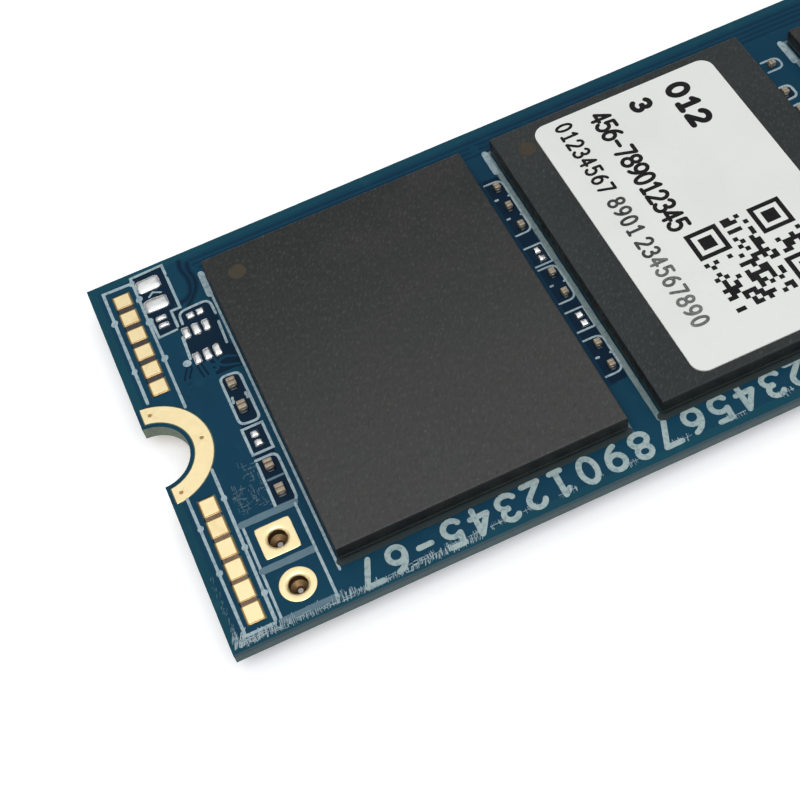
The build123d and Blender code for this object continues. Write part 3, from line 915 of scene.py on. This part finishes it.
# package outlines, broad along the near side, with pin-one bars
for box in (flash_a, flash_b, dram):
    x0, y0, x1, y1 = box
    left = x0 - 0.13 if box is flash_a else x0 - 0.2
    draw([(left, y1 + 0.14), (x1 + 0.13, y1 + 0.14), (x1 + 0.13, y0 - 0.3)], 0.19, tag=THIN_INK)
    if box is flash_a:
        draw([(left, y1 + 0.1), (left, y0 - 0.35)], 0.16)
    else:
        draw([(left + 0.04, y1 + 0.1), (left + 0.04, y0 - 0.05)], 0.28, tag=GREY_INK)
    # painted shade: the broad line along the near side is printed in the near-black ink, as the package's
    # shade on it
    draw([(left + 0.2, y0 - 0.02), (x1, y0 - 0.02)], 0.46, tag=SHADED_INK)
    draw([(left - 0.06, y1 + 0.2), (left - 0.08, y1 - 1.25)], 0.33)
x0, y0, x1, y1 = outline_of("controller_substrate", 0.3)
for x, y, dx, dy in ((x0, y0, 1, 1), (x1, y0, -1, 1), (x1, y1, -1, -1), (x0, y1, 1, -1)):
    draw([(x + 2.2 * dx, y), (x, y), (x, y + 2.2 * dy)], 0.19)
draw(arc(x0 + 0.55, y1 + 0.55, 0.2, 0.2, 0, 330, 12), 0.16)
for x0, y0, x1, y1 in (power, crystal):
    draw(corners(x0 - 0.25, y0 - 0.25, x1 + 0.25, y1 + 0.25), THIN, True, 0.15)
for x0, y0, x1, y1 in inductor_boxes:
    for y in (y1 + 0.22, y0 - 0.22):
        draw([(x0 + 0.1, y), (x1 - 0.1, y)], THIN)


def capsule(x, low, high, side=1):
    """A closed outline with rounded ends round a run of chips."""
    draw(corners(x - 0.5, low, x + 0.5, high)[::-1], THIN, True, 0.34, side=side)


def chip_columns(boxes):
    """Chips that stand along y, gathered by column and then into runs of up to three near neighbours."""
    columns = {}
    for x0, y0, x1, y1 in boxes:
        if y1 - y0 > x1 - x0:
            columns.setdefault(round((x0 + x1) / 2, 2), []).append((y0, y1))
    runs = []
    for x, spans in sorted(columns.items()):
        spans.sort()
        run = [spans[0]]
        for span in spans[1:]:
            if span[0] - run[-1][1] < 1.2 and len(run) < 3:
                run.append(span)
            else:
                runs.append((x, run))
                run = [span]
        runs.append((x, run))
    return runs


def bracket(x, low, high, radius):
    """An outline open towards the mount end."""
    draw([(x - 0.52, high), (x + 0.4, high), (x + 0.4, low), (x - 0.52, low)], FINE, False, radius)


for x, run in chip_columns(chip_boxes):
    low, high = run[0][0] - 0.3, run[-1][1] + 0.3
    if abs(x - gap_x) < 1:
        bracket(x, low, high, 0.4)
    else:
        capsule(x, low, high)
    for below, above in zip(run[:-1], run[1:]):
        y = (below[1] + above[0]) / 2
        draw([(x - 0.42, y), (x - 0.3, y)], 0.15)
        draw([(x + 0.3, y), (x + 0.42, y)], 0.15)
for x0, y0, x1, y1 in chip_boxes:
    if x1 - x0 > y1 - y0:
        draw(corners(x0 - 0.25, y0 - 0.24, x1 + 0.36, y1 + 0.24), 0.15, x0 > 40, 0.36)
for low in (1.3, -3.12):
    bracket(gap_x, low, low + 1.28, 0.1)

# strokes of a plain single-line numeral, in a box 0.62 wide and 1 tall
NUMERALS = {
    "0": [arc(0.31, 0.5, 0.29, 0.5, 90, 450, 20)],
    "1": [[(0.14, 0.8), (0.36, 1.0), (0.36, 0.0)], [(0.16, 0.0), (0.56, 0.0)]],
    "2": [arc(0.3, 0.7, 0.28, 0.3, 165, -35, 12) + [(0.02, 0.0), (0.6, 0.0)]],
    "3": [arc(0.28, 0.75, 0.26, 0.25, 150, -85, 10), arc(0.27, 0.27, 0.32, 0.27, 85, -155, 12)],
    "4": [[(0.44, 0.0), (0.44, 1.0), (0.0, 0.3)], [(0.0, 0.3), (0.62, 0.3)]],
    "5": [[(0.55, 1.0), (0.1, 1.0), (0.07, 0.56)] + arc(0.28, 0.32, 0.31, 0.32, 122, -150, 12)],
    "6": [arc(0.31, 0.31, 0.29, 0.31, 90, 450, 18), arc(0.62, 0.34, 0.6, 0.66, 180, 108, 8)],
    "7": [[(0.02, 1.0), (0.6, 1.0), (0.22, 0.0)]],
    "8": [arc(0.31, 0.76, 0.25, 0.24, 90, 450, 16), arc(0.31, 0.26, 0.3, 0.26, 90, 450, 16)],
    "9": [arc(0.31, 0.69, 0.29, 0.31, 90, 450, 18), arc(0.0, 0.66, 0.6, 0.66, 0, -72, 8)],
    "-": [[(0.08, 0.46), (0.54, 0.46)]],
}


def runs_of(stroke):
    """A numeral's stroke, parted at its sharp corners, with a note of whether each part is a loop."""
    stroke = [np.array(p, float) for p in stroke]
    if np.linalg.norm(stroke[0] - stroke[-1]) < 1e-6:
        return [(stroke[:-1], True)]
    runs = [[stroke[0]]]
    for before, corner, after in zip(stroke, stroke[1:], stroke[2:]):
        runs[-1].append(corner)
        a, b = corner - before, after - corner
        if a @ b < 0.6 * np.linalg.norm(a) * np.linalg.norm(b):
            runs.append([corner])
    runs[-1].append(stroke[-1])
    return [(run, False) for run in runs]


def write(shape, text, start, right, up, tall, pitch, width, low, high, tag=0, narrow=1.0, wander=0.05):
    """Numerals from start, the lower left of the first one, along right; narrow scales their width."""
    start, right, up = np.array(start, float), np.array(right, float), np.array(up, float)
    for k, mark in enumerate(text):
        corner = start + right * pitch * k
        for stroke in NUMERALS.get(mark, []):
            for run, loop in runs_of(stroke):
                points = [corner + right * x * tall * narrow + up * y * tall for x, y in run]
                band(shape, points, width, low, high, loop, tag, wander, 0.25)


# counting numerals along the near edge, upside down from the near side
near_print = {"low": DECK + SILK_LOW, "high": DECK + SILK_HIGH, "tag": TEXT_INK, "narrow": 1.04}
write(silk, "0123456789012345-67", (31.23, -9.17), (-1, -0.0125), (0, -1), 1.26, 1.334, 0.27, **near_print)
silk.make("silkscreen_top", [ink, ink_thin, ink_grey, ink_in_painted_shade, ink_text])

silk = Shape()
for node in PACKAGES_UNDER:
    x0, y0, x1, y1 = outline_of(node, 0.22)
    draw(corners(x0, y0, x1, y1), 0.19, True, side=-1)
    draw([(x0, y1 + 0.1), (x0 - 0.02, y1 - 1.3)], 0.34, side=-1)
for x, run in chip_columns(chip_boxes_under):
    capsule(x, run[0][0] - 0.32, run[-1][1] + 0.32, -1)
for x0, y0, x1, y1 in chip_boxes_under:
    if x1 - x0 > y1 - y0:
        draw(corners(x0 - 0.3, y0 - 0.22, x1 + 0.3, y1 + 0.22), 0.14, True, 0.2, side=-1)
write(silk, "0123456789", (66.0, -9.6), (1, 0), (0, 1), 1.2, 1.1, 0.2, BELLY - SILK_HIGH, BELLY - SILK_LOW)
silk.make("silkscreen_under", [ink])


# ---------------------------------------------------------------- copper under the mask

relief = Shape()
DEEP, EDGE, BRIGHT, SHADE = range(4)


def patch(x0, y0, x1, y1, tag, level=1.0):
    """A level area on the top; its height counts in thicknesses of a trace."""
    outline = rounded(corners(x0, y0, x1, y1), 0.12, True)
    plate(relief, on_board(outline), DECK - SUNK, DECK + TRACE * level, tag)


def track(points, width, tag, level=1.2, side=1, wander=0.03, step=0.4):
    """A raised line on the top (side 1) or the underside (side -1)."""
    z = DECK if side > 0 else BELLY
    low, high = sorted((z - side * SUNK, z + side * TRACE * level))
    band(relief, points, width, low, high, False, tag, wander, step)


def rims(side):
    """The strip along both long edges and the mount end, where the copper plane stops short; its lighter mask
    is partly a painted reflection.
    """
    rim = 0.42
    inset = rim / 2
    for edge in (1, -1):
        y = edge * (HALF_WIDTH - inset)
        track([(inset, edge * 2.95), (inset, y), (LENGTH - 4.25, y)], rim, EDGE, 0.7, side, 0.02)


# bare laminate shows darker where the copper plane stops
patch(2.3, 6.4, 4.0, 10.7, DEEP)
patch(3.5, 4.0, 5.5, 7.45, DEEP, 1.2)
patch(4.25, 3.0, 5.6, 4.4, DEEP, 0.8)
# round the test pad rows the dark patch is bare laminate and also painted shade of the mask openings
for name in ("test_pads_far", "test_pads_near"):
    boxes = np.array(boxes_of(name))
    x0, y0 = boxes[:, :2].min(axis=0)
    x1, y1 = boxes[:, 2:].max(axis=0)
    patch(x0 - 0.03, y0 - 0.06, x1 - 0.06, y1 + 0.03, DEEP)
patch(4.32, -5.2, 5.26, 2.66, DEEP)
for x, run in chip_columns(chip_boxes):
    if abs(x - gap_x) > 1:
        patch(x - 0.42, run[0][0] - 0.24, x + 0.42, run[-1][1] + 0.24, DEEP)
# painted shade: the two dark strips in the gap beside flash package A stand for the shade at that package's
# edge
patch(flash_a[2] + 0.02, -6.5, gap_x - 0.2, 7.6, SHADE, 0.8)
patch(gap_x - 0.5, -6.4, gap_x + 0.36, 7.5, DEEP)
rims(1)
tracks = (
    [(4.83, 10.5), (4.75, 9.93), (4.93, 9.22), (4.85, 8.56), (4.61, 8.1), (3.9, 7.9)],
    [(5.19, 10.2), (5.1, 9.73), (5.24, 9.15), (5.13, 8.51), (4.71, 7.94), (4.4, 7.6)],
    [(4.45, 4.1), (4.6, 3.4), (5.5, 3.1)],
    [(3.2, 4.0), (2.9, 3.5), (2.9, 3.2)],
    [(3.7, 3.9), (3.84, 2.94)],
    [(5.5, 3.6), (4.9, 3.9), (4.4, 3.5)],
)
for k, points in enumerate(tracks):
    outer, inner = (SHADE, DEEP) if k < 2 else (DEEP, BRIGHT)
    track(rounded(points, 0.3), 0.14, inner, 2)
    track(rounded(points, 0.3), 0.34, outer, 1.5)
for i, y in enumerate((10.3, 9.98, 9.66, 9.34)):
    x = 66.0 - 2.0 * i
    points = [(5.2 + 0.25 * i, y), (x, y), (x + 1.0, y - 1.0), (x + 1.0, y - 2.0)]
    track(rounded(points, 0.4), 0.17, SHADE, step=1.0)
for i in range(7):
    y = -2.4 + 0.8 * i
    track([(47.9, y), (48.3, y), (49.9, y), (50.5, y)], 0.14, BRIGHT)
for i in range(16):
    y = 9.0 - 1.2 * i
    bend = 0.25 * (1 if i % 2 else -1)
    points = [(66.9, y * 0.85), (67.6, y * 0.85), (75.2, y * 0.95 + bend), (76.7, y * 0.95 + bend)]
    if abs(y + 6.1) >= 1.2:
        track(points, 0.12, BRIGHT)


def via(x, y, side=1):
    """A tented via: a low ring round a shallow dip."""
    z = (DECK if side > 0 else BELLY) + side * TRACE * 0.5
    levels = ((0.27, 0.0), (0.22, 0.012), (0.14, 0.014), (0.08, 0.004), (0.03, 0.002))[::side]
    outlines = [on_board(arc(x, y, r, r, 0, 345, 23)) for r, _ in levels]
    stacked(relief, outlines, [z + side * h for _, h in levels], BRIGHT)


def far_from(places, x, y, distance):
    return all(math.hypot(x - a, y - b) > distance for a, b in places)


taken = [flash_a, flash_b, dram, controller, power, crystal]
taken += inductor_boxes + chip_boxes + notch_boxes + pad_boxes
vias = [(4.37, 8.88), (4.18, 9.94), (2.91, 3.18), (3.84, 2.94)]
vias += [(4.32, 3.47), (2.62, 5.43), (3.3, 2.2), (3.5, -1.6)]
while len(vias) < 110:
    x, y = uniform(20, 76), uniform(-10.2, 10.2)
    if clear_of(taken, x, y, 0.6) and not (x < 36 and y < -9) and far_from(vias, x, y, 0.8):
        vias.append((x, y))
for x, y in vias:
    via(x, y)
relief.make("tracks_vias_and_painted_shade_top", [mask_deep, mask_edge, mask, mask_shade])

relief = Shape()
rims(-1)
for i in range(9):
    y = 8.8 - 2.2 * i
    for x0, x1 in ((1.5, 4.9), (51.5, 54.0), (66.0, 76.0)):
        points = [(x0, y * 0.7), (x0 + 0.8, y * 0.7), (x1 - 0.8, y * 0.9), (x1, y * 0.9)]
        if abs(y) > 3.5 or x0 > 10:
            track(rounded(points, 0.3), 0.14, BRIGHT, side=-1)
taken = [outline_of(node, 0.5) for node in PACKAGES_UNDER] + chip_boxes_under
plated_holes = ((3.75, -6.62), (3.75, -9.16))
for k in range(90):
    x, y = uniform(3.5, 76), uniform(-10.2, 10.2)
    if clear_of(taken, x, y, 0.5) and far_from(plated_holes, x, y, 1.4):
        via(x, y, -1)
relief.make("tracks_and_vias_under", [mask_deep, mask_edge, mask])


# ---------------------------------------------------------------- handling marks

marks = Shape()
PALE_SCUFF, DIM_SCUFF = range(2)


def scratch(x, y, dx, dy, width=None, tag=PALE_SCUFF):
    """One short mark from a place, by a step; its width is random unless given."""
    width = width or uniform(0.018, 0.036)
    high = DECK + SCRATCH_HIGH + uniform(0, 0.008)
    band(marks, [(x, y), (x + dx, y + dy)], width, DECK + SILK_LOW, high, False, tag, 0.4)


# along the near edge from the corner of the mount end
for k in range(300):
    x = 0.45 + 11.5 * (k / 300) ** 1.2 + uniform(-0.05, 0.05)
    reach = uniform(0.2, 0.5) * (1.0 if x < 6 else 0.6)
    start = -HALF_WIDTH + 0.08 + uniform(0.0, 0.2)
    scratch(x, start, uniform(-0.02, 0.1), reach, tag=DIM_SCUFF if k % 3 == 2 else PALE_SCUFF)
for k in range(50):
    x = 0.6 + 9.0 * random.random() ** 1.3
    scratch(x, uniform(-10.85, -10.5), uniform(0.15, 0.45), uniform(-0.03, 0.05))
for k in range(34):
    scratch(uniform(0.15, 0.75), uniform(-10.85, -10.3), uniform(0.08, 0.2), uniform(0.2, 0.45))
for k in range(46):
    y = -10.6 + 3.4 * random.random() ** 1.4
    scratch(uniform(0.25, 0.45), y, uniform(0.02, 0.08), uniform(0.06, 0.2), 0.025, DIM_SCUFF)
# patches by the numerals
for x in (9.2, 10.6, 11.7, 12.8, 14.4, 16.2, 17.6, 19.4, 21.9, 24.6, 27.2, 29.8):
    wide = uniform(0.5, 0.9)
    scratch(x - wide * 0.6, -10.5, wide * 1.2, 0.02, 0.022)
    for k in range(16):
        start = x + uniform(-wide, wide) * 0.6
        scratch(start, uniform(-10.72, -10.5), uniform(-0.03, 0.03), 0.2, 0.024, k % 2)
# faint marks between the ring and the plated holes
for x0, x1, y0, y1, count in ((2.6, 3.2, -4.9, -3.4, 44), (3.4, 4.1, -4.9, -2.4, 60)):
    for k in range(count):
        x, y = uniform(x0, x1), uniform(y0, y1)
        if k % 2:
            dx, dy = uniform(0.1, 0.3), uniform(-0.03, 0.03)
        else:
            dx, dy = uniform(-0.03, 0.03), uniform(0.1, 0.35)
        scratch(x, y, dx, dy, uniform(0.016, 0.026), DIM_SCUFF)
marks.make("rub_marks", [scuff, scuff_dim])


# ---------------------------------------------------------------- label print

prints = Shape()
low, high = LABEL_TOP - SUNK, LABEL_TOP + PRINT_HIGH
BLACK, GREY, DIM = range(3)
for text, x, y, tall, pitch, width, narrow, tag in (
    ("012", 30.98, 7.5, 1.0, 1.09, 0.32, 1.25, BLACK),
    ("3", 28.93, 7.42, 0.92, 1.0, 0.28, 1.1, BLACK),
    ("456-789012345", 26.72, 7.68, 0.98, 0.666, 0.2, 0.88, BLACK),
    ("01234567", 24.9, 7.92, 0.8, 0.655, 0.15, 0.84, BLACK),
    ("8901", 24.9, 2.3, 0.8, 0.655, 0.15, 0.84, DIM),
    ("23", 24.9, -0.56, 0.8, 0.655, 0.15, 0.84, DIM),
    ("4567890", 24.9, -1.85, 0.8, 0.655, 0.15, 0.84, GREY),
):
    write(prints, text, (x, y), (0, -1), (1, 0), tall, pitch, width, low, high, tag, narrow, 0.01)

# a square of random modules that encodes nothing, with three locating squares
CODE_CELLS = 21
CODE_SIZE = 5.08
cell = CODE_SIZE / CODE_CELLS
code_x = 27.02
code_y = -1.35
filled = random.random((CODE_CELLS, CODE_CELLS)) < 0.5
for i0, j0 in ((0, 0), (CODE_CELLS - 7, 0), (CODE_CELLS - 7, CODE_CELLS - 7)):
    filled[max(0, i0 - 1) : i0 + 8, max(0, j0 - 1) : j0 + 8] = False
    filled[i0 : i0 + 7, j0 : j0 + 7] = True
    filled[i0 + 1 : i0 + 6, j0 + 1 : j0 + 6] = False
    filled[i0 + 2 : i0 + 5, j0 + 2 : j0 + 5] = True
for i in range(CODE_CELLS):
    j = 0
    while j < CODE_CELLS:
        if filled[i, j]:
            run = j
            while run < CODE_CELLS and filled[i, run]:
                run += 1
            x0, y1 = code_x + i * cell, code_y - j * cell
            y0 = code_y - run * cell
            plate(prints, on_board(corners(x0, y0, x0 + cell * 1.001, y1)), low, high)
            j = run
        else:
            j += 1
prints.make("label_print", [black, grey_print, dim_print])

# tin-brown plugs in the ring's three vias
RING_MIDDLE = 2.425
PLUG_RADIUS = 0.102
plugs = Shape()
for x, y in arc(0, 0, RING_MIDDLE, RING_MIDDLE, -76, 76, 2):
    plate(plugs, on_board(arc(x, y, PLUG_RADIUS, PLUG_RADIUS, 0, 345, 23)), BELLY + 0.002, DECK - 0.002)
plugs.make("ring_via_plugs", [brown_gold_and_rim_shade])

# pin-one dots, polished into the mould compound
dots = Shape()
for box, node in ((flash_a, "flash_top_a_mould"), (flash_b, "flash_top_b_mould")):
    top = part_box(node)[1].z / MM
    x, y = box[0] + 1.43, box[3] - 1.53
    outlines = [on_board(arc(x, y, r, r, 0, 350, 35)) for r in (0.45, 0.45, 0.42)]
    stacked(dots, outlines, (top - 0.004, top + 0.001, top + 0.002))
dots.make("pin_one_dots", [pin_dot])

# ---------------------------------------------------------------- floor, light, camera

floor_finish = Finish("pale_floor", (0.9, 0.9, 0.9), 0.9, specular_ior_level=0.1)
set_values(floor_finish.shader, {"Emission Color": (1, 1, 1, 1), "Emission Strength": 0.2})
# the floor is open from beneath, so that the underside can be looked at
side_seen = floor_finish.node("NewGeometry", {}).outputs["Backfacing"]
clear = floor_finish.node("BsdfTransparent", {}).outputs["BSDF"]
choice = floor_finish.node("MixShader", {}, Fac=side_seen)
floor_finish.link(floor_finish.shader.outputs["BSDF"], choice.inputs[1])
floor_finish.link(clear, choice.inputs[2])
floor_finish.link(choice.outputs["Shader"], floor_finish.tree.nodes["Material Output"].inputs["Surface"])
FLOOR_REACH = 9.0
FLOOR_DROP = 0.00002
floor_mesh = bpy.data.meshes.new("floor")
bm = bmesh.new()
bmesh.ops.create_grid(bm, x_segments=8, y_segments=8, size=FLOOR_REACH)
bmesh.ops.translate(bm, vec=(0, 0, cad_box[0].z - FLOOR_DROP), verts=bm.verts)
bm.to_mesh(floor_mesh)
bm.free()
floor_mesh.materials.append(floor_finish.material)
floor = bpy.data.objects.new("floor", floor_mesh)
bpy.context.scene.collection.objects.link(floor)


def softbox(name, place, aim, size, power, tint):
    """A soft rectangular lamp at a place, turned to its aim."""
    data = bpy.data.lights.new(name, "AREA")
    data.shape = "RECTANGLE"
    data.size, data.size_y = size
    data.energy = power
    data.color = tint
    light = bpy.data.objects.new(name, data)
    light.location = place
    light.rotation_mode = "QUATERNION"
    light.rotation_quaternion = (Vector(aim) - Vector(place)).to_track_quat("-Z", "Y")
    bpy.context.scene.collection.objects.link(light)


softbox("key", (-0.06, -0.05, 0.14), (-0.03, -0.01, 0), (0.1, 0.1), 0.07, (1, 1, 1))
softbox("fill", (0.1, -0.36, 0.5), (START * 0.6 * MM, 0, 0), (0.4, 0.3), 0.5, (0.97, 0.99, 1.0))

# the studio is brightest overhead, dims lower down, and meets the floor in a pale backdrop
world = bpy.data.worlds.new("studio")
world.use_nodes = True
sky = world.node_tree
direction = sky.nodes.new("ShaderNodeTexCoord")
split = sky.nodes.new("ShaderNodeSeparateXYZ")
both = sky.nodes.new("ShaderNodeMath")
both.operation = "ADD"
sky.links.new(direction.outputs["Generated"], split.inputs["Vector"])
overhead, backdrop = (0.4, 0.92, 0.2, 1.15), (0.1, 0.25, 0.8, 0.0)
for i, (numbers, curve) in enumerate(((overhead, "SMOOTHSTEP"), (backdrop, "LINEAR"))):
    ramp = sky.nodes.new("ShaderNodeMapRange")
    ramp.interpolation_type = curve
    set_values(ramp, range_values(*numbers))
    sky.links.new(split.outputs["Z"], ramp.inputs["Value"])
    sky.links.new(ramp.outputs["Result"], both.inputs[i])
sky.links.new(both.outputs["Value"], sky.nodes["Background"].inputs["Strength"])
set_values(sky.nodes["Background"], {"Color": (0.96, 0.98, 1.0, 1)})
bpy.context.scene.world = world
bpy.context.scene.view_settings.view_transform = "Standard"

CAMERA_TARGET = Vector((-28.475, -2.54, 1.93)) * MM
CAMERA_DISTANCE = 69.913 * MM
CAMERA_AZIMUTH = math.radians(-12.268)
CAMERA_ELEVATION = math.radians(56.459)
CAMERA_ROLL = math.radians(-13.478)
CAMERA_LENS = 67.53
CAMERA_SENSOR = 36
back = Vector(
    (
        math.sin(CAMERA_AZIMUTH) * math.cos(CAMERA_ELEVATION),
        -math.cos(CAMERA_AZIMUTH) * math.cos(CAMERA_ELEVATION),
        math.sin(CAMERA_ELEVATION),
    )
)
level = Vector((0, 0, 1)).cross(back).normalized()
upward = back.cross(level)
right = level * math.cos(CAMERA_ROLL) + upward * math.sin(CAMERA_ROLL)
lens = bpy.data.cameras.new("camera")
lens.sensor_width = CAMERA_SENSOR
lens.lens = CAMERA_LENS
lens.clip_start = 0.002
lens.clip_end = 10
camera = bpy.data.objects.new("camera", lens)
camera.matrix_world = Matrix.Translation(CAMERA_TARGET + back * CAMERA_DISTANCE) @ Matrix(
    (right, back.cross(right), back)
).transposed().to_4x4()
bpy.context.scene.collection.objects.link(camera)
bpy.context.scene.camera = camera
